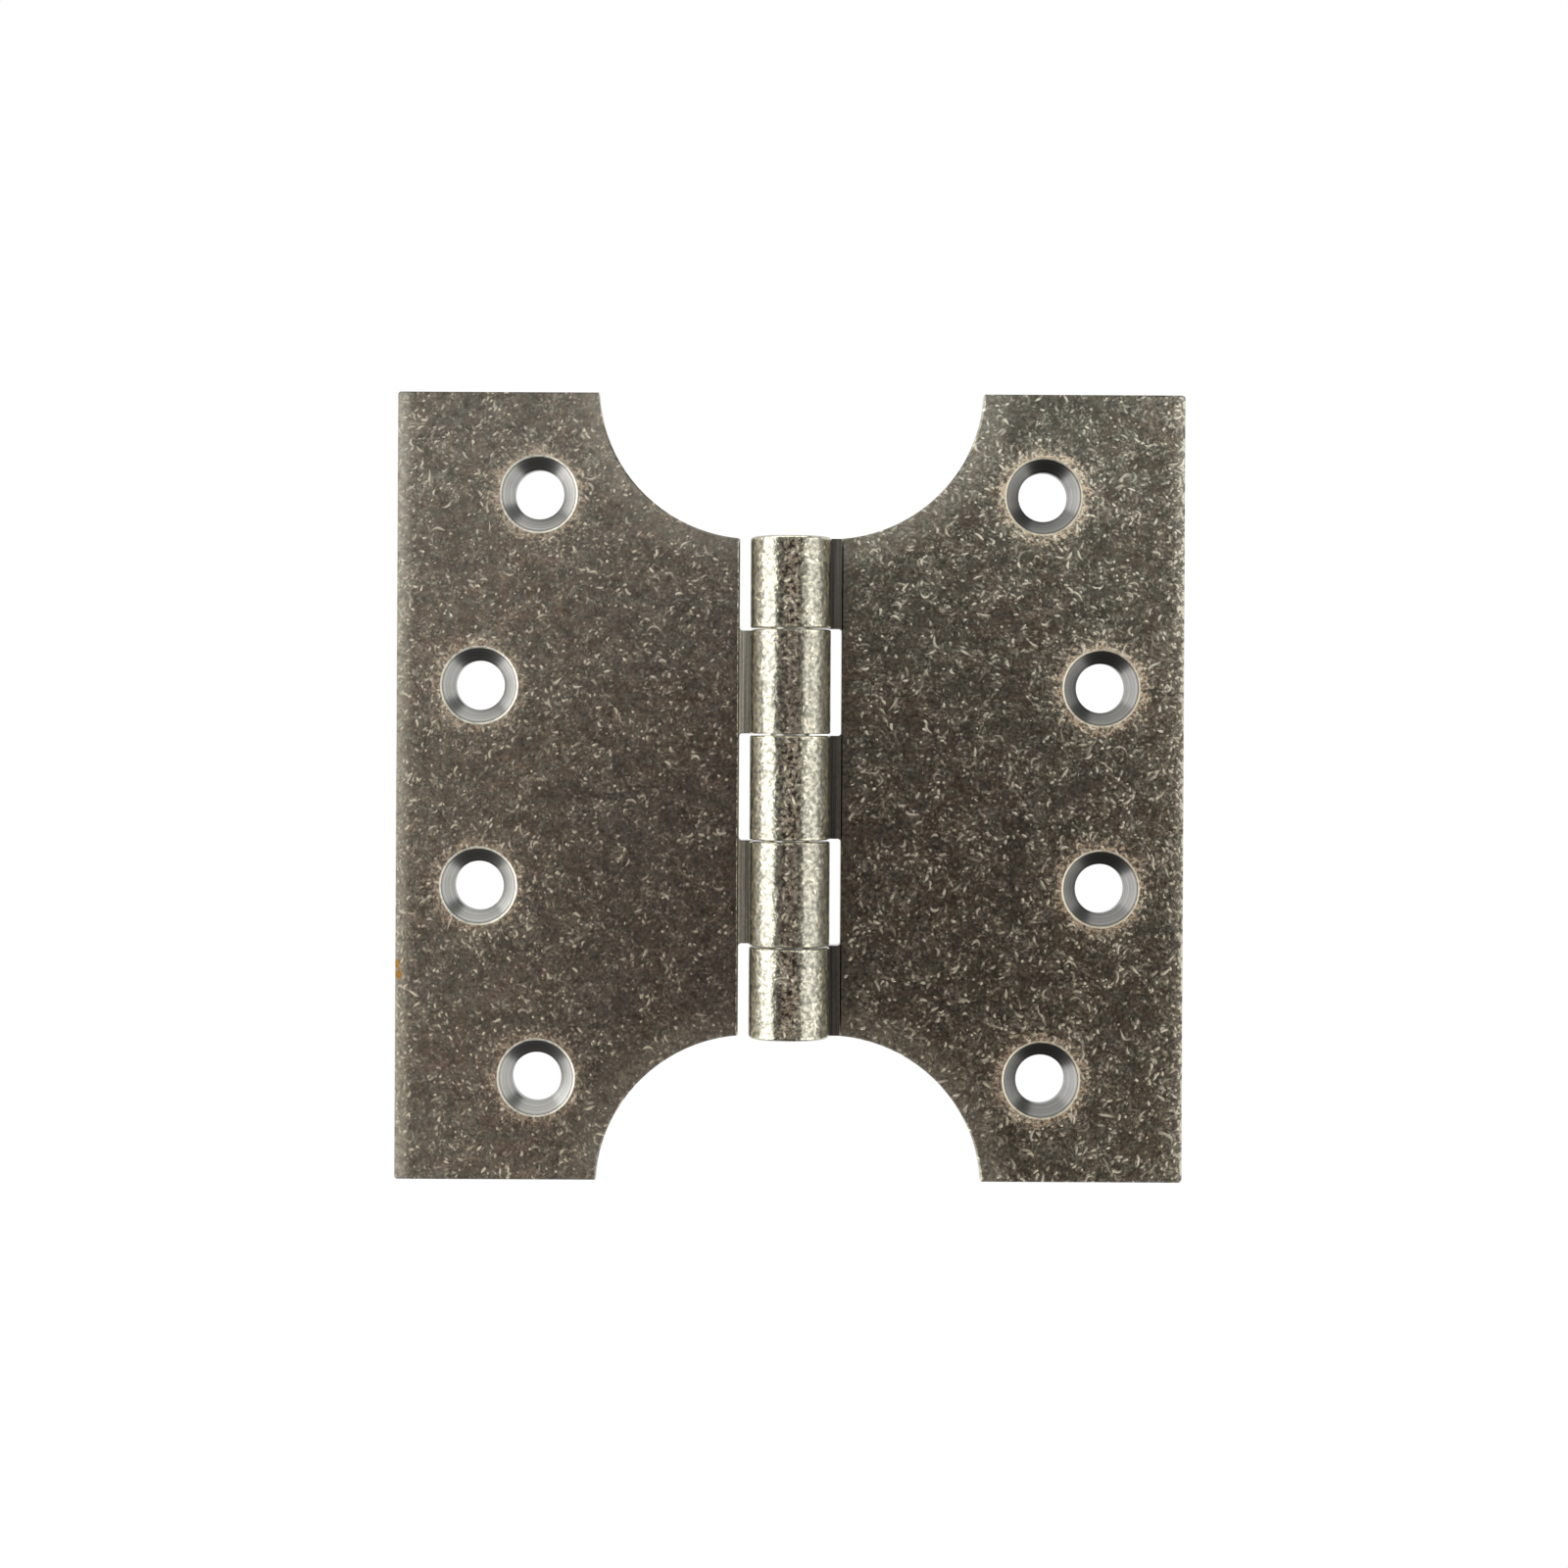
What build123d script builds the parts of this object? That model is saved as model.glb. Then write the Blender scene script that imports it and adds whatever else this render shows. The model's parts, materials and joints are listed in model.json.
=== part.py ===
# Parliament hinge, opened flat and lying on its back: two winged steel leaves whose
# tongues are rolled into a five-knuckle barrel round one fixed pin.
# Units are millimetres. +Z is the countersunk front, the pin lies along Y, and the
# origin is on the back plane under the middle of the pin.
from build123d import *
from math import radians, tan
import os

os.makedirs("parts", exist_ok=True)

# Outline of the open hinge
open_width = 102.0          # outer edge to outer edge, across both leaves
leaf_height = 102.0         # wing tip to wing tip, along the pin
leaf_thickness = 3.0
wing_width = 26.0           # width of a wing at its tip
bite_bulge = 0.187          # rise of the bite's arc over its chord
corner_rounding = 0.4       # outer corners and notch corners, in plan
edge_break = 0.2            # tumbled edges of the sheet

# Barrel and pin
pin_diameter = 5.0
end_knuckle = 11.8          # end of the barrel to the nearest joint line
middle_knuckle = 13.6       # joint line to joint line
knuckle_gap = 0.25          # axial play at each joint
coined_step = 0.3           # the tongue is this much thinner than the leaf
barrel_clearance = 1.4      # knuckle to the edge of the other leaf
running_clearance = 0.05    # radial, between the pin and the knuckles that turn on it
seam_gap = 0.2              # rolled lip above the root of its tongue
barrel_end_rounding = 0.4
joint_break = 0.15          # knuckle edges at the joints
pin_recess = 0.4            # pin ends below the ends of the barrel
pin_chamfer = 0.4

# Countersunk screw holes, four in each leaf
hole_diameter = 6.4
sink_depth = 1.4
sink_angle = 100.0
rim_break = 0.15            # widening of the sink by its broken rim
end_hole_offset = 7.7       # outwards from the inner corner of the wing tip
end_hole_drop = 13.2        # wing tip to the hole nearest to it
middle_hole_inset = 10.7    # from the leaf's outer edge
middle_hole_spacing = 26.0

# Places that follow from these sizes
half_width = open_width / 2
half_height = leaf_height / 2
wing_inner = half_width - wing_width
half_barrel = end_knuckle + 1.5 * middle_knuckle
pin_radius = pin_diameter / 2
knuckle_radius = pin_radius + leaf_thickness - coined_step
axis_height = knuckle_radius
leaf_inset = knuckle_radius + barrel_clearance
root_overlap = leaf_thickness / 2
sink_radius = hole_diameter / 2 + sink_depth * tan(radians(sink_angle / 2))
rim_angle = (sink_angle + 180) / 2
same_place = 0.001

# Knuckles along the barrel, each from its top end to its bottom end
joint_lines = [(1.5 - step) * middle_knuckle for step in range(4)]
knuckle_tops = [half_barrel] + [line - knuckle_gap / 2 for line in joint_lines]
knuckle_bottoms = [line + knuckle_gap / 2 for line in joint_lines] + [-half_barrel]
knuckles = list(zip(knuckle_tops, knuckle_bottoms))

end_hole = (wing_inner + end_hole_offset, half_height - end_hole_drop)
middle_hole = (half_width - middle_hole_inset, middle_hole_spacing / 2)
hole_places = [(x, side * y, leaf_thickness) for x, y in (end_hole, middle_hole) for side in (1, -1)]


# Choices of edges, in the terms of the hinge
def is_inner_edge(edge):
    return abs(edge.center().X) < leaf_inset + same_place


def is_outer_corner(edge):
    return abs(edge.center().X) > half_width - same_place


def is_bite(edge):
    return abs(edge.center().X) < wing_inner


def is_notch_corner(edge):
    return is_inner_edge(edge) and abs(edge.center().Y) < half_barrel - same_place


def is_knuckle_end(edge):
    return abs(edge.radius - knuckle_radius) < same_place


def is_barrel_end(edge):
    return abs(edge.center().Y) > half_barrel - same_place


def is_joint_end(edge):
    return abs(edge.center().Y) < half_barrel - end_knuckle / 2


# One rolled knuckle: a tongue flush with the leaf's back, curled once round the pin and
# closed on its own root, with the outermost edge of the barrel softened
def rolled_knuckle(base, top, bottom, bore_radius):
    tongue = knuckle_radius - bore_radius
    root_end = leaf_inset + root_overlap
    lip_sine = 1 - (tongue + seam_gap) / knuckle_radius
    lip_cosine = (1 - lip_sine**2) ** 0.5
    outer_lip = (knuckle_radius * lip_cosine, axis_height - knuckle_radius * lip_sine)
    inner_lip = (bore_radius * lip_cosine, axis_height - bore_radius * lip_sine)
    top_face = Plane(base.from_local_coords((0, top, 0)), base.x_dir, -base.y_dir)
    with BuildPart() as knuckle:
        with BuildSketch(top_face):
            with BuildLine():
                Line((root_end, 0), (0, 0))
                ThreePointArc((0, 0), (0, axis_height + knuckle_radius), outer_lip)
                Line(outer_lip, inner_lip)
                ThreePointArc(inner_lip, (0, axis_height + bore_radius), (0, tongue))
                Line((0, tongue), (root_end, tongue))
                Line((root_end, tongue), (root_end, 0))
            make_face()
        extrude(amount=top - bottom)
        ends = knuckle.edges().filter_by(GeomType.CIRCLE).filter_by(is_knuckle_end)
        barrel_ends = ends.filter_by(is_barrel_end)
        if barrel_ends:
            fillet(barrel_ends, barrel_end_rounding)
    return knuckle


# One leaf on its base plane, with a knuckle along each span of the barrel that it owns
def hinge_leaf(base, spans, bore_radius):
    rolled = [rolled_knuckle(base, top, bottom, bore_radius).part for top, bottom in spans]
    with BuildPart() as leaf:
        # Winged plate with a round bite above and below the barrel
        with BuildSketch(base):
            with BuildLine():
                inner_edge = Line((leaf_inset, 0), (leaf_inset, half_barrel))
                chord = Line(inner_edge @ 1, (wing_inner, half_height), mode=Mode.PRIVATE)
                bite = SagittaArc(chord @ 0, chord @ 1, -bite_bulge * chord.length)
                wing_tip = Line(bite @ 1, (half_width, half_height))
                Line(wing_tip @ 1, (half_width, 0))
                mirror(about=Plane.XZ)
            make_face()
        extrude(amount=leaf_thickness)
        fillet(leaf.edges().filter_by(Axis.Z).filter_by(is_outer_corner), corner_rounding)
        chamfer(leaf.edges().group_by(Axis.Z)[-1], edge_break)
        chamfer(leaf.edges().group_by(Axis.Z)[0].filter_by(is_bite, reverse=True), edge_break)

        add(rolled)
        fillet(leaf.edges().filter_by(Axis.Z).filter_by(is_notch_corner), corner_rounding)
        ends = leaf.edges().filter_by(GeomType.CIRCLE).filter_by(is_knuckle_end)
        chamfer(ends.filter_by(is_joint_end), joint_break)

        with Locations(*[base.from_local_coords(place) for place in hole_places]):
            CounterSinkHole(hole_diameter / 2, sink_radius, counter_sink_angle=sink_angle)
            CounterSinkHole(hole_diameter / 2, sink_radius + rim_break, counter_sink_angle=rim_angle)
    return leaf


# The right leaf grips the pin with the end and middle knuckles
right_leaf = hinge_leaf(Plane.XY, knuckles[0::2], pin_radius)
right_leaf.part.label = "right_leaf"
export_step(right_leaf.part, "parts/right_leaf.step")

# The left leaf turns on the pin with the two knuckles between them
left_leaf = hinge_leaf(Plane.XY.rotated((0, 0, 180)), knuckles[1::2], pin_radius + running_clearance)
left_leaf.part.label = "left_leaf"
export_step(left_leaf.part, "parts/left_leaf.step")

# Plain steel pin, held a little below both ends of the barrel
pin_end = Plane((0, half_barrel - pin_recess, axis_height), z_dir=(0, -1, 0))
with BuildPart() as pin:
    with BuildSketch(pin_end):
        Circle(pin_radius)
    extrude(amount=2 * (half_barrel - pin_recess))
    chamfer(pin.edges().filter_by(GeomType.CIRCLE), pin_chamfer)
pin.part.label = "pin"
export_step(pin.part, "parts/pin.step")
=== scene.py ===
import json
import math

import bpy
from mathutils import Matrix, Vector


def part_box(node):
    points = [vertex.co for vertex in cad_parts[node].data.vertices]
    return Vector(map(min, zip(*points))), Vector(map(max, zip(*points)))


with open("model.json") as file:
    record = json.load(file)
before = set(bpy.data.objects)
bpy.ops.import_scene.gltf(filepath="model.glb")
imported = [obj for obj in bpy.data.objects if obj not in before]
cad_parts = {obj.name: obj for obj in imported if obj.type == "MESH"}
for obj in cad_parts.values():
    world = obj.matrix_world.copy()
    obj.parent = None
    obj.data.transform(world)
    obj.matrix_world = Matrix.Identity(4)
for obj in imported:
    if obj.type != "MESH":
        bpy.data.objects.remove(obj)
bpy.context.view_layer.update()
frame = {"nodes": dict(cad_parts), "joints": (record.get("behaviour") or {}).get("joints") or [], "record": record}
leftLeaf = frame["nodes"]["left_leaf"]
rightLeaf = frame["nodes"]["right_leaf"]
pin = frame["nodes"]["pin"]
print("frame loaded:", ", ".join(sorted(frame["nodes"])))

# Sizes of the hinge in millimetres, read from the frame where it holds them
mmPerMetre = 1000
leafLow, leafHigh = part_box("right_leaf")
hinge = {
    "halfWidth": leafHigh.x * mmPerMetre,
    "halfHeight": leafHigh.y * mmPerMetre,
    "axisHeight": frame["joints"][0]["pos_m"][2] * mmPerMetre,  # also the barrel's radius
    "leafThickness": 3.0,
    "leafInset": 6.6,  # pin axis to a leaf's inner edge
    "wingInner": 25.0,  # inner corner of a wing tip
    "halfBarrel": 32.2,
    "biteBulge": 0.187,  # rise of the bite's arc over its chord
    "sinkRadius": 4.87,  # countersink at the leaf's face
}


def screwHoles():  # one quarter of the hinge, the rest is mirrored
    found = set()
    for mount in frame["record"]["mounts"]:
        if mount["kind"] == "bolt_pattern":
            across = abs(mount["pos_m"][0]) * mmPerMetre
            found.add((round(across, 3), mount["dims"]["spacing_y_mm"] / 2))
    return sorted(found)


def biteCircle():  # centre and radius of the arc cut out beside the barrel
    start = Vector((hinge["leafInset"], hinge["halfBarrel"]))
    end = Vector((hinge["wingInner"], hinge["halfHeight"]))
    chord = end - start
    rise = hinge["biteBulge"] * chord.length
    radius = (chord.length ** 2 / 4 + rise ** 2) / (2 * rise)
    towardsBay = Vector((-chord.y, chord.x)).normalized()
    return (start + end) / 2 + towardsBay * (radius - rise), radius


# Node shorthand, one bench for each material and one for the world
class Bench:
    def __init__(self, owner):
        owner.use_nodes = True
        self.owner = owner
        self.tree = owner.node_tree
        self.tree.nodes.clear()

    def plug(self, value, socket):
        if isinstance(value, bpy.types.NodeSocket):
            self.tree.links.new(value, socket)
        else:
            socket.default_value = value

    def put(self, kind, inputs=None, **settings):
        node = self.tree.nodes.new(kind)
        for key, value in settings.items():
            setattr(node, key, value)
        for key, value in (inputs or {}).items():
            self.plug(value, node.inputs[key])
        return node

    def calc(self, operation, *values):
        node = self.put("ShaderNodeMath", dict(enumerate(values)), operation=operation)
        return node.outputs[0]

    def vec(self, operation, *values):
        node = self.put("ShaderNodeVectorMath", dict(enumerate(values)), operation=operation)
        single = operation in ("LENGTH", "DISTANCE", "DOT_PRODUCT")
        return node.outputs["Value" if single else "Vector"]

    def scaled(self, vector, amount):
        node = self.put("ShaderNodeVectorMath", {"Vector": vector, "Scale": amount}, operation="SCALE")
        return node.outputs["Vector"]

    def ramp(self, value, low, high, start=0.0, end=1.0):
        spots = {"Value": value, "From Min": low, "From Max": high, "To Min": start, "To Max": end}
        return self.put("ShaderNodeMapRange", spots, interpolation_type="SMOOTHSTEP").outputs["Result"]

    def line(self, value, low, high, start=0.0, end=1.0):
        spots = {"Value": value, "From Min": low, "From Max": high, "To Min": start, "To Max": end}
        return self.put("ShaderNodeMapRange", spots).outputs["Result"]

    def pick(self, share, first, second):  # sockets 2 and 3 are the node's plain numbers
        node = self.put("ShaderNodeMix", {"Factor": share, 2: first, 3: second}, data_type="FLOAT")
        return node.outputs[0]

    def tint(self, share, first, second, how="MIX"):  # sockets 6 and 7 are its colours
        inputs = {"Factor": share, 6: first, 7: second}
        node = self.put("ShaderNodeMix", inputs, data_type="RGBA", blend_type=how)
        return node.outputs[2]

    def split(self, vector):
        return self.put("ShaderNodeSeparateXYZ", {"Vector": vector}).outputs

    def join(self, x, y, z=0.0):
        return self.put("ShaderNodeCombineXYZ", {"X": x, "Y": y, "Z": z}).outputs["Vector"]

    def noise(self, point, perMm, detail=2.0, roughness=0.5):
        inputs = {"Vector": point, "Scale": perMm, "Detail": detail, "Roughness": roughness}
        return self.put("ShaderNodeTexNoise", inputs).outputs[0]

    def most(self, *values):
        top = values[0]
        for value in values[1:]:
            top = self.calc("MAXIMUM", top, value)
        return top

    def product(self, *values):
        total = values[0]
        for value in values[1:]:
            total = self.calc("MULTIPLY", total, value)
        return total

    def metal(self, colour, roughness, height, strength, depth):
        bump = self.put("ShaderNodeBump", {"Strength": strength, "Distance": depth, "Height": height})
        shader = self.put("ShaderNodeBsdfPrincipled", {
            "Base Color": colour, "Metallic": 1.0, "Roughness": roughness,
            "Normal": bump.outputs["Normal"],
        })
        self.surface(shader, "ShaderNodeOutputMaterial")

    def surface(self, shader, kind):
        output = self.put(kind)
        self.tree.links.new(shader.outputs[0], output.inputs["Surface"])


def photoColour(red, green, blue):  # screen values 0-255 to scene linear
    def linear(value):
        share = value / 255
        return share / 12.92 if share <= 0.04045 else ((share + 0.055) / 1.055) ** 2.4
    return linear(red), linear(green), linear(blue), 1.0


# Where a point lies on a leaf: flat, rolled barrel, cut edge, countersink
faces = {
    "endFace": 0.8,  # a normal this far along the pin is on a knuckle's end
    "upright": 0.35,  # one with less of the front in it is on a cut edge
    "barrelSkin": 0.1,  # thickness counted as the barrel, in millimetres
    "backSheet": 300.0,  # the backs draw their finish from another part of the sheet
}


def leafPlaces(bench):
    coords = bench.put("ShaderNodeTexCoord")
    point = bench.scaled(coords.outputs["Object"], mmPerMetre)
    x, y, z = bench.split(point)
    nx, ny, nz = bench.split(coords.outputs["Normal"])
    acrossX = bench.calc("ABSOLUTE", x)
    acrossY = bench.calc("ABSOLUTE", y)
    height = bench.calc("SUBTRACT", z, hinge["axisHeight"])
    fromAxis = bench.vec("LENGTH", bench.join(x, height))
    endFace = bench.calc("GREATER_THAN", bench.calc("ABSOLUTE", ny), faces["endFace"])
    onBarrel = bench.calc("LESS_THAN", fromAxis, hinge["axisHeight"] + faces["barrelSkin"])
    rolled = bench.product(onBarrel, bench.calc("SUBTRACT", 1.0, endFace))
    upright = bench.calc("LESS_THAN", bench.calc("ABSOLUTE", nz), faces["upright"])
    alongX = bench.calc("GREATER_THAN", bench.calc("ABSOLUTE", ny), bench.calc("ABSOLUTE", nx))
    below = bench.calc("LESS_THAN", nz, -faces["upright"])

    # one flat sheet of millimetres to draw the finish on
    girth = bench.product(bench.calc("ARCTAN2", x, height), hinge["axisHeight"])
    u = bench.pick(upright, x, bench.pick(alongX, z, x))
    v = bench.pick(upright, y, bench.pick(alongX, y, z))
    u = bench.pick(rolled, u, girth)
    v = bench.pick(rolled, v, y)
    u = bench.calc("ADD", u, bench.product(below, faces["backSheet"]))
    sheet = bench.join(u, v)

    corner = bench.join(acrossX, acrossY)
    fromHole = None
    for across, along in screwHoles():
        reach = bench.vec("DISTANCE", corner, (across, along, 0.0))
        fromHole = reach if fromHole is None else bench.calc("MINIMUM", fromHole, reach)
    biteCentre, biteRadius = biteCircle()
    toBite = bench.vec("DISTANCE", corner, (biteCentre.x, biteCentre.y, 0.0))
    return {
        "point": point, "nz": nz, "sheet": sheet, "acrossX": acrossX, "acrossY": acrossY,
        "onBarrel": onBarrel, "rolled": rolled, "below": below, "fromHole": fromHole,
        "toOuter": bench.calc("SUBTRACT", hinge["halfWidth"], acrossX),
        "toTip": bench.calc("SUBTRACT", hinge["halfHeight"], acrossY),
        "toBite": bench.calc("SUBTRACT", toBite, biteRadius),
    }


# Short bright hairs where tumbling rubbed the patina through
hairColumns = ("perMm", "halfLength", "halfWidth", "curl", "amount", "glow", "shift")
hairLayers = [dict(zip(hairColumns, row)) for row in (  # the amounts are for the left leaf and the right
    (2.5, 0.30, 0.12, 0.4, (0.55, 0.70), 0.26, 33.1),
    (1.7, 0.24, 0.19, 0.2, (0.10, 0.10), 0.9, 0.0),
    (1.6, 0.46, 0.14, 0.9, (0.50, 0.75), 0.34, 401.7),
    (1.3, 0.42, 0.17, 0.6, (0.20, 0.28), 1.0, 71.3),
    (1.0, 0.62, 0.18, 0.8, (0.24, 0.32), 1.0, 143.9),
    (0.75, 0.95, 0.18, 0.6, (0.22, 0.35), 1.0, 219.1),
    (0.5, 1.40, 0.17, 0.4, (0.15, 0.32), 0.9, 307.7),
)]


def hairs(bench, sheet, layer, look, presence, flow):
    point = bench.vec("ADD", sheet, (layer["shift"], -layer["shift"], 0.0))
    inputs = {"Vector": point, "Scale": layer["perMm"], "Randomness": 1.0}
    cell = bench.put("ShaderNodeTexVoronoi", inputs, voronoi_dimensions="2D", feature="F1")
    chance = bench.split(cell.outputs["Color"])
    offset = bench.vec("SUBTRACT", point, cell.outputs["Position"])
    turn = bench.calc("ADD", flow, bench.product(chance[0], 0.7 * math.pi))
    inputs = {"Vector": offset, "Angle": turn}
    turned = bench.put("ShaderNodeVectorRotate", inputs, rotation_type="Z_AXIS")
    along, aside, _ = bench.split(turned.outputs["Vector"])
    bend = bench.line(chance[1], 0.0, 1.0, -layer["curl"], layer["curl"])
    aside = bench.calc("ADD", aside, bench.product(bend, along, along))
    longest = layer["halfLength"] * look["hairLength"]
    reach = bench.line(chance[2], 0.0, 1.0, 0.3 * longest, longest)
    shape = bench.vec("LENGTH", bench.join(bench.calc("DIVIDE", along, reach),
                                           bench.calc("DIVIDE", aside, layer["halfWidth"])))
    draw = bench.calc("FRACT", bench.product(bench.calc("ADD", chance[0], chance[1]), 17.3))
    shown = bench.calc("LESS_THAN", draw, bench.product(presence, layer["amount"][look["leaf"]]))
    glow = bench.calc("POWER", bench.calc("FRACT", bench.product(chance[2], 9.7)), 1.8)
    glow = bench.line(glow, 0.0, 1.0, 0.15 * layer["glow"], layer["glow"])
    return bench.product(bench.ramp(shape, 1.4, 0.3), shown, glow)


leftFinish = {
    "patina": photoColour(86, 80, 71),
    "patinaWarm": photoColour(88, 78, 68),
    "patinaCool": photoColour(81, 79, 71),
    "hair": photoColour(191, 181, 161),
    "rub": photoColour(184, 180, 163),
    # colour of the painted highlight along the inner edge
    "innerEdgeHighlight": photoColour(212, 208, 192),
    "halo": photoColour(171, 154, 131),
    # colour of the painted highlight round the countersink rims
    "rim": photoColour(222, 218, 204),
    "barrelDark": photoColour(106, 104, 95),
    "barrelBright": photoColour(148, 145, 132),
    # the crown colours are painted darker, a painted reflection of the dark ceiling above the barrel
    "shadedCrownDark": photoColour(62, 54, 47),
    "shadedCrownBright": photoColour(120, 110, 97),
    # root colour painted light, a painted reflection of the barrel's lit flank
    "root": photoColour(150, 149, 136),
    # the sink walls are painted lighter here than on the right leaf, as painted light
    "sink": photoColour(118, 117, 114),
    "mottling": (0.6, 1.33),  # darkest and brightest of the fine mottle
    "leaf": 0,  # column of the hair amounts
    "hairLength": 0.95,
    "edgeRub": 0.6,  # flecks worn along the edges
    "edgeSoft": 0.44,  # even wear along the outer edge
    "edgeReach": 2.3,  # and how far in it goes
    "innerHighlightReach": 0.32,  # width of the painted highlight along the inner edge
    "innerHighlightByEven": 1.0,  # how strong that painted highlight is beside knuckles two and four
    "innerHighlightByOdd": 1.0,  # and beside one, three and five
    "haloAmount": 0.6,
    "rustSpots": [(-51.0, -23.2, 0.9), (-50.8, -24.5, 0.8)],  # place and reach
}
rightFinish = {
    "patina": photoColour(82, 77, 67),
    "patinaWarm": photoColour(84, 75, 64),
    "patinaCool": photoColour(76, 76, 67),
    "hair": photoColour(208, 202, 181),
    "rub": photoColour(208, 204, 184),
    # colour of the painted highlight along the inner edge
    "innerEdgeHighlight": photoColour(190, 184, 168),
    "halo": photoColour(189, 172, 146),
    # colour of the painted highlight round the countersink rims
    "rim": photoColour(198, 190, 170),
    "barrelDark": photoColour(104, 102, 93),
    "barrelBright": photoColour(150, 147, 134),
    # the crown colours are painted darker, a painted reflection of the dark ceiling above the barrel
    "shadedCrownDark": photoColour(46, 39, 34),
    "shadedCrownBright": photoColour(138, 126, 110),
    # root colour painted dark, painted shade of the barrel
    "root": photoColour(84, 82, 77),
    # the sink walls are painted darker here than on the left leaf, as painted shade
    "sink": photoColour(92, 91, 89),
    "mottling": (0.5, 1.4),
    "leaf": 1,
    "hairLength": 1.0,
    "edgeRub": 0.95,
    "edgeSoft": 0.18,
    "edgeReach": 1.6,
    "innerHighlightReach": 0.24,
    "innerHighlightByEven": 1.0,
    "innerHighlightByOdd": 0.12,
    "haloAmount": 1.0,
    "rustSpots": [],
}
tumble = {  # the skin that tumbling gave both leaves, lengths in millimetres
    "flatRough": (0.16, 0.22),
    "barrelRough": 0.18,
    "sinkRough": 0.28,
    "rimRough": 0.55,
    "reliefDepth": 0.00002,  # metres
    "barrelRelief": 3.4,  # how much deeper the barrel is pitted than the flats
    "hairByHole": (10.0, 5.0, 0.0, 0.9),  # from and to this distance, from and to this much more hair
    "hairByEdge": (4.0, 0.0, 0.0, 1.5),
    "hairByBite": (5.0, 0.0, 0.0, 0.4),
    "bareRoot": (6.9, 9.0),  # no hair up to here from the pin, all of it from there
    "haloReach": (4.7, 8.0),  # least and most, from the middle of a hole
    "rimInside": (4.80, 4.88),
    "rimOutside": (5.16, 5.02),
    "rust": photoColour(152, 112, 52),
    "biteReach": 5.5,  # even wear beside the bites
    "biteSoft": 0.15,
}
jointLines = (6.8, 20.4)  # millimetres from the middle of the barrel
jointRub = {"reach": (0.1, 0.8), "onSkin": 0.8, "onEnds": 0.35}  # end faces keep more patina


def shifted(bench, sheet, across, along):
    return bench.vec("ADD", sheet, (across, along, 0.0))


def patinaSkin(bench, at, look):  # dark skin of the flats, mottled and drifting in tint
    sheet = at["sheet"]
    drift = bench.ramp(bench.noise(sheet, 0.07, 2.0), 0.35, 0.65)
    spots = bench.ramp(bench.noise(shifted(bench, sheet, 29.0, -83.0), 0.55, 2.0), 0.40, 0.62)
    mottle = bench.noise(sheet, 2.0, 3.0, 0.6)
    cloud = bench.noise(shifted(bench, sheet, 13.0, -57.0), 0.8, 2.0)
    haze = bench.noise(shifted(bench, sheet, -71.0, 39.0), 0.3, 2.0)
    crossing = bench.calc("SUBTRACT", bench.noise(shifted(bench, sheet, 5.0, 91.0), 1.5, 1.0), 0.5)
    marks = bench.ramp(bench.calc("ABSOLUTE", crossing), 0.07, 0.0, 1.0, 1.35)
    colour = bench.tint(drift, look["patina"], look["patinaWarm"])
    colour = bench.tint(bench.product(spots, 0.7), colour, look["patinaCool"])
    shade = bench.product(bench.line(mottle, 0.25, 0.75, *look["mottling"]),
                          bench.line(cloud, 0.25, 0.75, 0.7, 1.3),
                          bench.line(haze, 0.3, 0.7, 0.82, 1.18), marks)
    return bench.tint(1.0, colour, shade, how="MULTIPLY"), mottle


def barrelSkin(bench, at, look):  # rubbed harder than the flats, its crown painted darker as a painted dark reflection
    grain = bench.noise(shifted(bench, at["sheet"], -61.0, 33.0), 1.5, 3.0, 0.55)
    # painted dark reflection: the barrel's crown is darkened towards its top
    crown = bench.ramp(at["acrossX"], 2.3, 0.6)
    dark = bench.tint(crown, look["barrelDark"], look["shadedCrownDark"])
    bright = bench.tint(crown, look["barrelBright"], look["shadedCrownBright"])
    colour = bench.tint(bench.ramp(grain, 0.38, 0.62), dark, bright)
    pits = bench.noise(shifted(bench, at["sheet"], 17.0, 58.0), 1.5, 3.0, 0.6)
    waves = bench.noise(shifted(bench, at["sheet"], -9.0, -44.0), 0.45, 1.0)
    return colour, bench.calc("ADD", pits, bench.product(waves, 2.0))


def edgeWear(bench, at, look, ragged):  # outer, tip and bite edges rubbed through in flecks
    outerReach = bench.line(ragged, 0.3, 0.7, -0.7, 1.5)
    outerRub = bench.ramp(bench.calc("SUBTRACT", outerReach, at["toOuter"]), 0.0, 0.45)
    tipReach = bench.line(ragged, 0.35, 0.75, -0.6, 0.8)
    tipRub = bench.ramp(bench.calc("SUBTRACT", tipReach, at["toTip"]), 0.0, 0.6)
    biteRub = bench.ramp(bench.calc("SUBTRACT", tipReach, at["toBite"]), 0.0, 0.7)
    inner = bench.most(bench.product(tipRub, 0.6), bench.product(biteRub, 0.5))
    onFlat = bench.ramp(at["nz"], 0.75, 0.95, 0.35, 1.0)  # less on the broken edge itself
    inner = bench.product(inner, onFlat)
    flecked = bench.most(outerRub, inner)
    soft = bench.ramp(at["toOuter"], look["edgeReach"], 0.0, 0.0, look["edgeSoft"])
    besideBite = bench.ramp(at["toBite"], tumble["biteReach"], 0.0, 0.0, tumble["biteSoft"])
    besideBite = bench.product(besideBite, bench.calc("SUBTRACT", 1.0, at["onBarrel"]))
    soft = bench.product(bench.most(soft, besideBite), bench.line(ragged, 0.3, 0.7, 0.3, 1.5))
    return bench.most(bench.product(flecked, look["edgeRub"]), soft)


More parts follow.
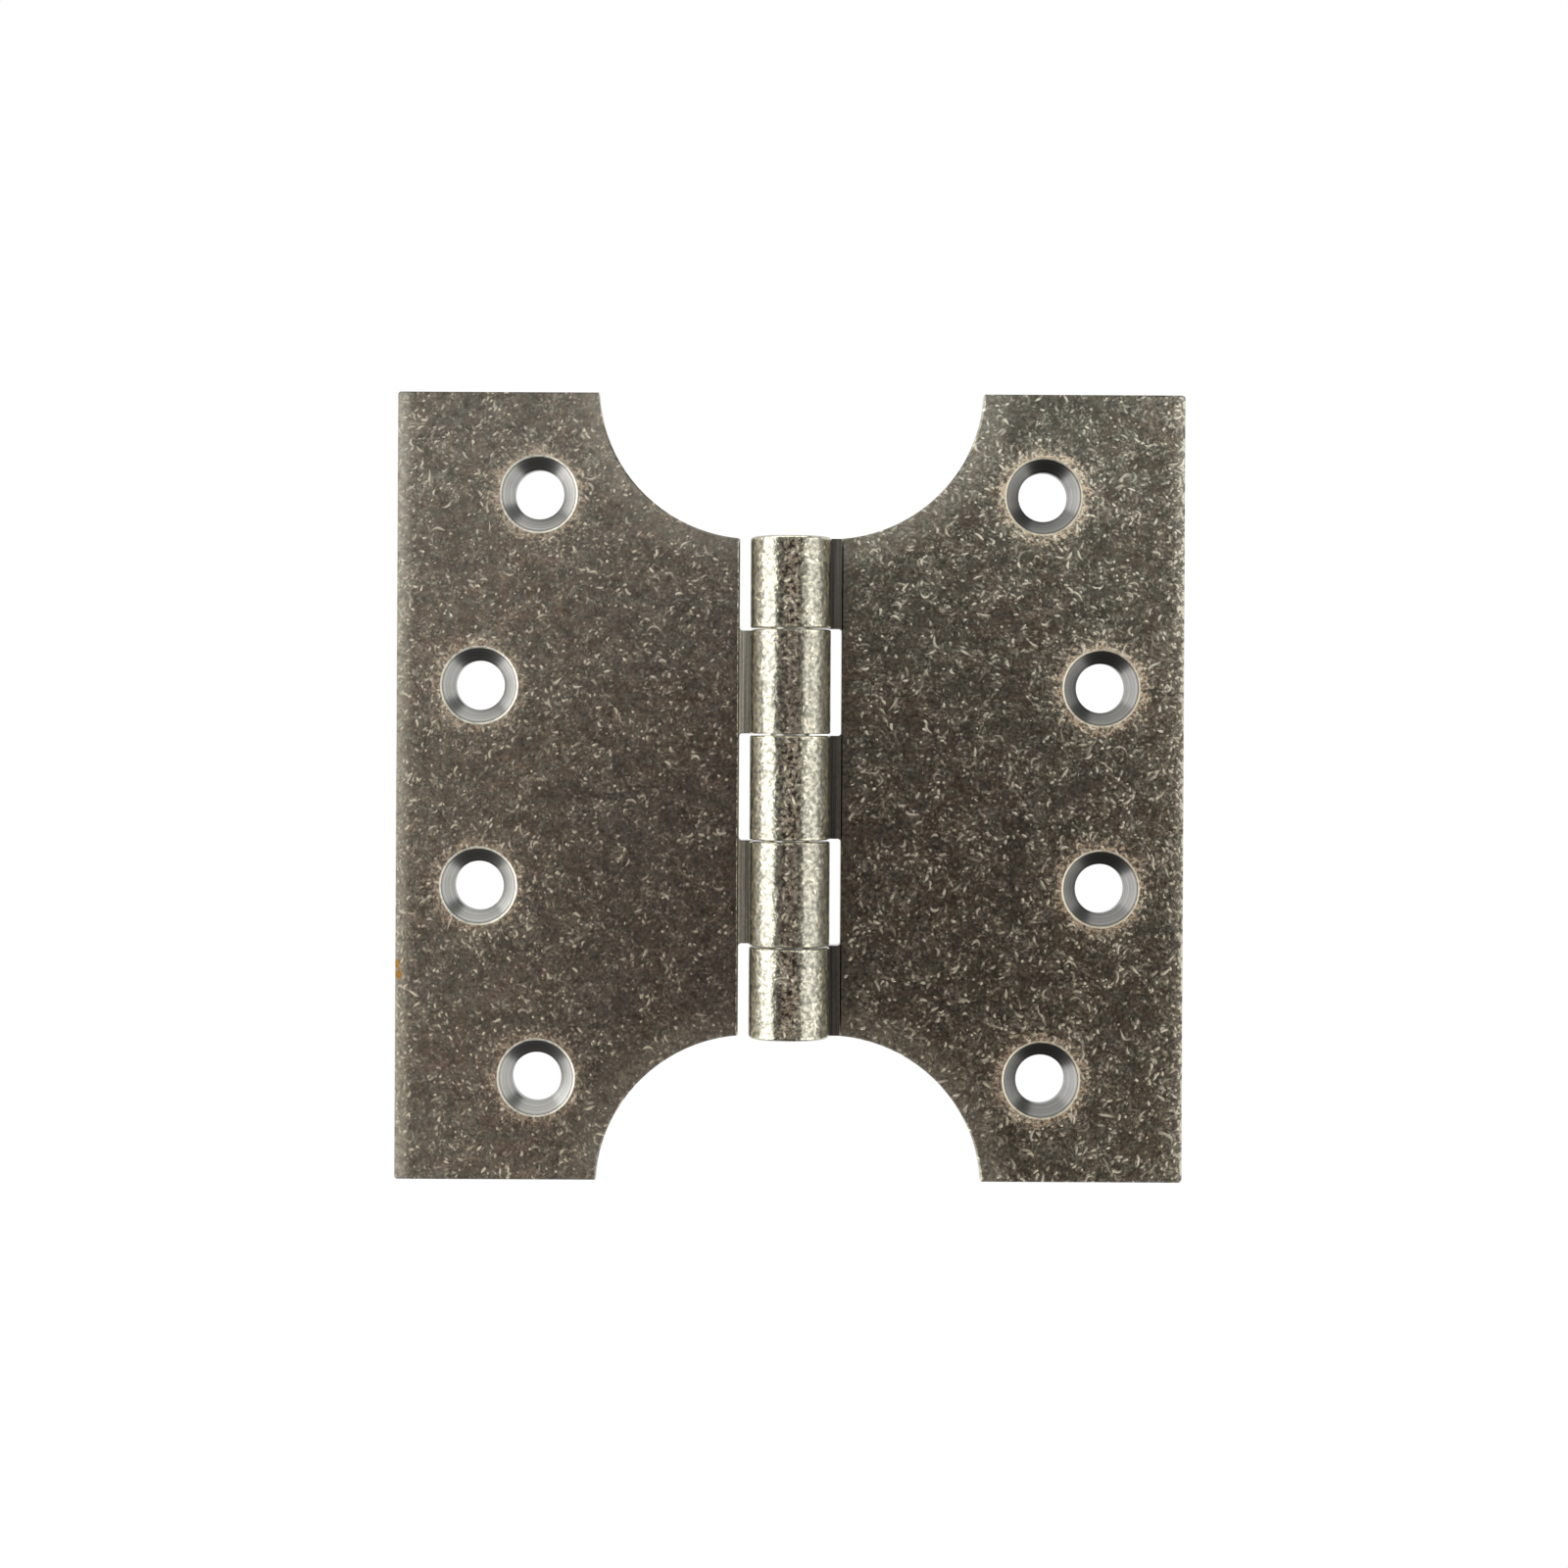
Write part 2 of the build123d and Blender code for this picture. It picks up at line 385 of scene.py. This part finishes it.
def jointWear(bench, at, ragged):  # knuckle ends rubbed along the joints
    toJoint = bench.calc("SUBTRACT", hinge["halfBarrel"], at["acrossY"])
    for place in jointLines:
        gap = bench.calc("ABSOLUTE", bench.calc("SUBTRACT", at["acrossY"], place))
        toJoint = bench.calc("MINIMUM", toJoint, gap)
    reach = bench.line(ragged, 0.3, 0.7, *jointRub["reach"])
    rubbed = bench.product(bench.ramp(bench.calc("SUBTRACT", reach, toJoint), 0.0, 0.3), at["onBarrel"])
    return bench.product(rubbed, bench.pick(at["rolled"], jointRub["onEnds"], jointRub["onSkin"]))


def rootLinesAndShade(bench, at, look):  # tongue between barrel and leaf, drawn in fine lines along the pin and darkened towards the barrel as painted shade
    lines = bench.noise(bench.vec("MULTIPLY", at["point"], (5.0, 0.05, 0.0)), 1.0, 2.0)
    # the fine lines are rolling marks; the second factor is painted shade beside the barrel
    shade = bench.product(bench.line(lines, 0.3, 0.7, 0.55, 1.45),
                          bench.line(at["acrossX"], 5.4, 6.3, 0.6, 1.0))
    return bench.tint(1.0, look["root"], shade, how="MULTIPLY")


def sinkSkin(bench, look, turned):  # bare turned wall of a countersink
    return bench.tint(1.0, look["sink"], bench.line(turned, 0.3, 0.7, 0.7, 1.3), how="MULTIPLY")


def tumbledPewter(name, look):
    bench = Bench(bpy.data.materials.new(name))
    at = leafPlaces(bench)
    sheet = at["sheet"]
    notBelow = bench.calc("SUBTRACT", 1.0, at["below"])  # sinks, haloes and roots are on the front
    inFlat = bench.product(bench.calc("SUBTRACT", 1.0, at["onBarrel"]), notBelow)
    ragged = bench.noise(shifted(bench, sheet, -23.0, 67.0), 1.1, 4.0, 0.7)
    sink = bench.product(bench.calc("LESS_THAN", at["fromHole"], hinge["sinkRadius"] + 0.02), inFlat)
    root = bench.product(inFlat, bench.calc("LESS_THAN", at["acrossX"], hinge["leafInset"] - 0.05))
    turned = bench.noise(bench.join(at["fromHole"], 0.0), 5.0, 2.0)

    # bright hairs gather in clumps, near holes and outer edges, and leave the roots bare
    clump = bench.noise(shifted(bench, sheet, 41.0, 17.0), 0.22, 3.0, 0.6)
    knot = bench.noise(shifted(bench, sheet, -37.0, 71.0), 0.55, 2.0)
    flow = bench.product(bench.noise(shifted(bench, sheet, 61.0, -19.0), 0.11, 1.0), 4 * math.pi)
    presence = bench.product(bench.line(clump, 0.35, 0.65, 0.05, 1.5),
                             bench.line(knot, 0.35, 0.65, 0.2, 1.8))
    byHole = bench.product(bench.ramp(at["fromHole"], *tumble["hairByHole"]), notBelow)
    presence = bench.calc("ADD", presence, byHole)
    presence = bench.calc("ADD", presence, bench.ramp(at["toOuter"], *tumble["hairByEdge"]))
    presence = bench.calc("ADD", presence, bench.ramp(at["toBite"], *tumble["hairByBite"]))
    clearOfRoot = bench.most(bench.ramp(at["acrossX"], *tumble["bareRoot"]), at["onBarrel"])
    presence = bench.product(presence, clearOfRoot)
    hair = bench.most(*[hairs(bench, sheet, layer, look, presence, flow) for layer in hairLayers])

    # pale haloes round the holes, broken into worms
    haloReach = bench.line(ragged, 0.3, 0.7, *tumble["haloReach"])
    haloDepth = bench.calc("SUBTRACT", haloReach, at["fromHole"])
    halo = bench.ramp(haloDepth, 0.0, 1.0, 0.0, look["haloAmount"])
    crossing = bench.calc("SUBTRACT", bench.noise(shifted(bench, sheet, 83.0, 7.0), 1.2, 2.0), 0.5)
    worms = bench.ramp(bench.calc("ABSOLUTE", crossing), 0.10, 0.03, 0.2, 1.0)
    halo = bench.product(halo, worms, notBelow)

    # worn edges, with a painted highlight along the inner edge and round the countersink rims
    # painted highlight: a pale strip along each leaf's inner edge beside the barrel, where the broken edge catches
    # light
    innerGap = bench.calc("SUBTRACT", at["acrossX"], hinge["leafInset"])
    innerHighlightReach = bench.line(ragged, 0.3, 0.7, 0.6 * look["innerHighlightReach"], 1.4 * look["innerHighlightReach"])
    innerDepth = bench.calc("SUBTRACT", innerHighlightReach, innerGap)
    innerHighlightMask = bench.product(bench.ramp(innerDepth, 0.0, 0.15), inFlat)
    besideOdd = bench.most(bench.calc("LESS_THAN", at["acrossY"], jointLines[0]),
                           bench.calc("GREATER_THAN", at["acrossY"], jointLines[1]))
    innerHighlightMask = bench.product(innerHighlightMask, bench.pick(besideOdd, look["innerHighlightByEven"], look["innerHighlightByOdd"]))
    rub = bench.most(edgeWear(bench, at, look, ragged), jointWear(bench, at, ragged))
    # painted highlight: a pale ring round each countersink rim, where its broken edge catches light
    rim = bench.product(bench.ramp(at["fromHole"], *tumble["rimInside"]),
                        bench.ramp(at["fromHole"], *tumble["rimOutside"]),
                        bench.line(ragged, 0.3, 0.7, 0.5, 1.0), inFlat)

    colour, mottle = patinaSkin(bench, at, look)
    rolledColour, pits = barrelSkin(bench, at, look)
    colour = bench.tint(at["rolled"], colour, rolledColour)
    colour = bench.tint(halo, colour, look["halo"])
    colour = bench.tint(hair, colour, look["hair"])
    colour = bench.tint(rub, colour, look["rub"])
    colour = bench.tint(innerHighlightMask, colour, look["innerEdgeHighlight"])
    colour = bench.tint(root, colour, rootLinesAndShade(bench, at, look))
    colour = bench.tint(sink, colour, sinkSkin(bench, look, turned))
    colour = bench.tint(rim, colour, look["rim"])
    for across, along, reach in look["rustSpots"]:
        away = bench.vec("DISTANCE", at["point"], (across, along, hinge["leafThickness"]))
        away = bench.calc("ADD", away, bench.line(ragged, 0.3, 0.7, -0.4, 0.4))
        spot = bench.product(bench.ramp(away, reach, 0.4 * reach), notBelow)
        colour = bench.tint(spot, colour, tumble["rust"])

    rough = bench.line(mottle, 0.3, 0.7, *tumble["flatRough"])
    rough = bench.pick(at["rolled"], rough, tumble["barrelRough"])
    rough = bench.pick(sink, rough, tumble["sinkRough"])
    rough = bench.pick(rim, rough, tumble["rimRough"])

    relief = bench.calc("ADD", bench.product(hair, 0.5), bench.product(mottle, 0.35))
    relief = bench.pick(at["rolled"], relief, bench.product(pits, tumble["barrelRelief"]))
    relief = bench.pick(sink, relief, bench.product(turned, 0.6))
    bench.metal(colour, rough, relief, 1.0, tumble["reliefDepth"])
    return bench.owner


pinFinish = {
    "steel": photoColour(172, 170, 165),
    "roughness": 0.34,
    "drawMarks": 9.0,  # to a millimetre
    "markDepth": 0.000006,  # metres
}


def drawnSteel(name, look):
    bench = Bench(bpy.data.materials.new(name))
    coords = bench.put("ShaderNodeTexCoord")
    point = bench.scaled(coords.outputs["Object"], mmPerMetre)
    streak = bench.noise(bench.vec("MULTIPLY", point, (1.0, 0.08, 1.0)), look["drawMarks"], 3.0, 0.6)
    colour = bench.tint(1.0, look["steel"], bench.line(streak, 0.3, 0.7, 0.8, 1.1), how="MULTIPLY")
    bench.metal(colour, look["roughness"], streak, 1.0, look["markDepth"])
    return bench.owner


def dress(piece, material):
    piece.data.materials.clear()
    piece.data.materials.append(material)


dress(leftLeaf, tumbledPewter("tumbledPewterLeft", leftFinish))
dress(rightLeaf, tumbledPewter("tumbledPewterRight", rightFinish))
dress(pin, drawnSteel("drawnSteelPin", pinFinish))
print("finishes dressed on", len(frame["nodes"]), "nodes")

floorLook = {
    "side": 40.0,
    "drop": 0.06,  # clear of the leaf at its lowest
    "white": 0.9,
    "shadowShare": 0.03,  # how much of the paper's own shading shows
}


def whiteFloor(look):
    half = look["side"] / 2
    mesh = bpy.data.meshes.new("floor")
    corners = [(-half, -half), (half, -half), (half, half), (-half, half)]
    mesh.from_pydata([(x, y, -look["drop"]) for x, y in corners], [], [(0, 1, 2, 3)])
    floor = bpy.data.objects.new("floor", mesh)
    bpy.context.scene.collection.objects.link(floor)
    bench = Bench(bpy.data.materials.new("floorPaper"))
    ray = bench.put("ShaderNodeLightPath").outputs
    seen = bench.most(ray["Is Camera Ray"], ray["Is Glossy Ray"], ray["Is Transmission Ray"])
    paper = bench.put("ShaderNodeBsdfDiffuse", {"Color": (look["white"],) * 3 + (1.0,)})
    white = bench.put("ShaderNodeEmission", {"Color": (1.0, 1.0, 1.0, 1.0), "Strength": 1.0})
    share = bench.product(seen, 1 - look["shadowShare"])
    mixed = bench.put("ShaderNodeMixShader", {0: share, 1: paper.outputs[0], 2: white.outputs[0]})
    under = bench.put("ShaderNodeNewGeometry").outputs["Backfacing"]
    clear = bench.put("ShaderNodeBsdfTransparent")
    shown = bench.put("ShaderNodeMixShader", {0: under, 1: mixed.outputs[0], 2: clear.outputs[0]})
    bench.surface(shown, "ShaderNodeOutputMaterial")  # nothing hides the backs from below
    mesh.materials.append(bench.owner)


whiteFloor(floorLook)

studio = {
    "core": (0.293, 0.237, 0.222, 1.0),  # straight above, where the camera's own shade falls
    "ring": (1.92, 1.88, 1.87, 1.0),  # pale ceiling round it
    "ringTop": (1.86, 1.93, 2.03, 1.0),  # which is cooler towards the top of the hinge
    "coolReach": (-0.02, 0.16),
    "dim": (0.48, 0.50, 0.48, 1.0),  # the rest of the room
    "dark": (0.14, 0.14, 0.14, 1.0),  # unlit side of the room, below the hinge
    "darkReach": (-0.95, -0.60),  # sines of the bearings where it is full and where it ends
    "coreCentre": (0.036, -0.075),  # tangents of its lean to the right and to the top
    "coreReach": (0.095, 0.235),  # tangents where the shade ends and the ceiling is full
    "ringReach": (0.26, 0.38),
    "boxes": [  # name, zenith angle, bearing, distance, height, length, brightness
        ("leftBox", 66.0, 180.0, 0.60, 0.46, 0.95, 4.5),
        ("rightBox", 62.0, 350.0, 0.60, 0.56, 0.95, 2.2),
        ("topFill", 72.0, 98.0, 0.80, 0.50, 1.2, 2.1),
    ],
}


def softbox(name, zenith, bearing, distance, height, length, brightness):
    lamp = bpy.data.lights.new(name, "AREA")
    lamp.shape = "RECTANGLE"
    lamp.size = length
    lamp.size_y = height
    lamp.energy = brightness * math.pi * height * length
    tilt, turn = math.radians(zenith), math.radians(bearing)
    place = Vector((math.sin(tilt) * math.cos(turn), math.sin(tilt) * math.sin(turn), math.cos(tilt)))
    light = bpy.data.objects.new(name, lamp)
    light.location = place * distance
    light.rotation_euler = place.to_track_quat("Z", "Y").to_euler()
    bpy.context.scene.collection.objects.link(light)


def lightStudio(look):
    world = bpy.data.worlds.new("studioRoom")
    bpy.context.scene.world = world
    bench = Bench(world)
    x, y, z = bench.split(bench.put("ShaderNodeTexCoord").outputs["Generated"])
    rise = bench.calc("MAXIMUM", z, 0.02)
    lean = bench.join(bench.calc("DIVIDE", x, rise), bench.calc("DIVIDE", y, rise))
    away = bench.vec("DISTANCE", lean, (*look["coreCentre"], 0.0))
    towardsTop = bench.calc("DIVIDE", y, bench.vec("LENGTH", bench.join(x, y)))
    side = bench.tint(bench.ramp(towardsTop, *look["darkReach"]), look["dark"], look["dim"])
    cool = bench.ramp(bench.calc("DIVIDE", y, rise), *look["coolReach"])
    ceiling = bench.tint(cool, look["ring"], look["ringTop"])
    room = bench.tint(bench.ramp(away, *look["coreReach"]), look["core"], ceiling)
    room = bench.tint(bench.ramp(away, *look["ringReach"]), room, side)
    sky = bench.put("ShaderNodeBackground", {"Color": room, "Strength": 1.0})
    bench.surface(sky, "ShaderNodeOutputWorld")
    for box in look["boxes"]:
        softbox(*box)


lightStudio(studio)
print("studio lit with", len(studio["boxes"]), "soft boxes")

photoView = {
    "framePixels": 1600,
    "pixelsPerMm": 7.88,  # on the leaves' front face
    "hingeCentre": (806.3, 803.2),  # pixel of the middle of the hinge
    "height": 380.0,  # camera above the front face
    "towardsTop": 8.0,  # camera off the middle, along the pin
    "roll": 0.3,  # degrees
    "sensor": 36.0,
}


def aimCamera(look):
    frameWidth = look["framePixels"] / look["pixelsPerMm"]
    middle = look["framePixels"] / 2
    offX = (middle - look["hingeCentre"][0]) / look["pixelsPerMm"]
    offY = (look["hingeCentre"][1] - middle) / look["pixelsPerMm"]
    data = bpy.data.cameras.new("photoCamera")
    data.sensor_width = look["sensor"]
    data.lens = look["sensor"] * look["height"] / frameWidth
    data.shift_y = (offY - look["towardsTop"]) / frameWidth
    data.clip_start = 0.01
    camera = bpy.data.objects.new("photoCamera", data)
    height = look["height"] + hinge["leafThickness"]
    camera.location = Vector((offX, look["towardsTop"], height)) / mmPerMetre
    camera.rotation_euler = (0.0, 0.0, math.radians(look["roll"]))
    bpy.context.scene.collection.objects.link(camera)
    bpy.context.scene.camera = camera


aimCamera(photoView)
bpy.context.scene.view_settings.view_transform = "Standard"
print("camera placed")
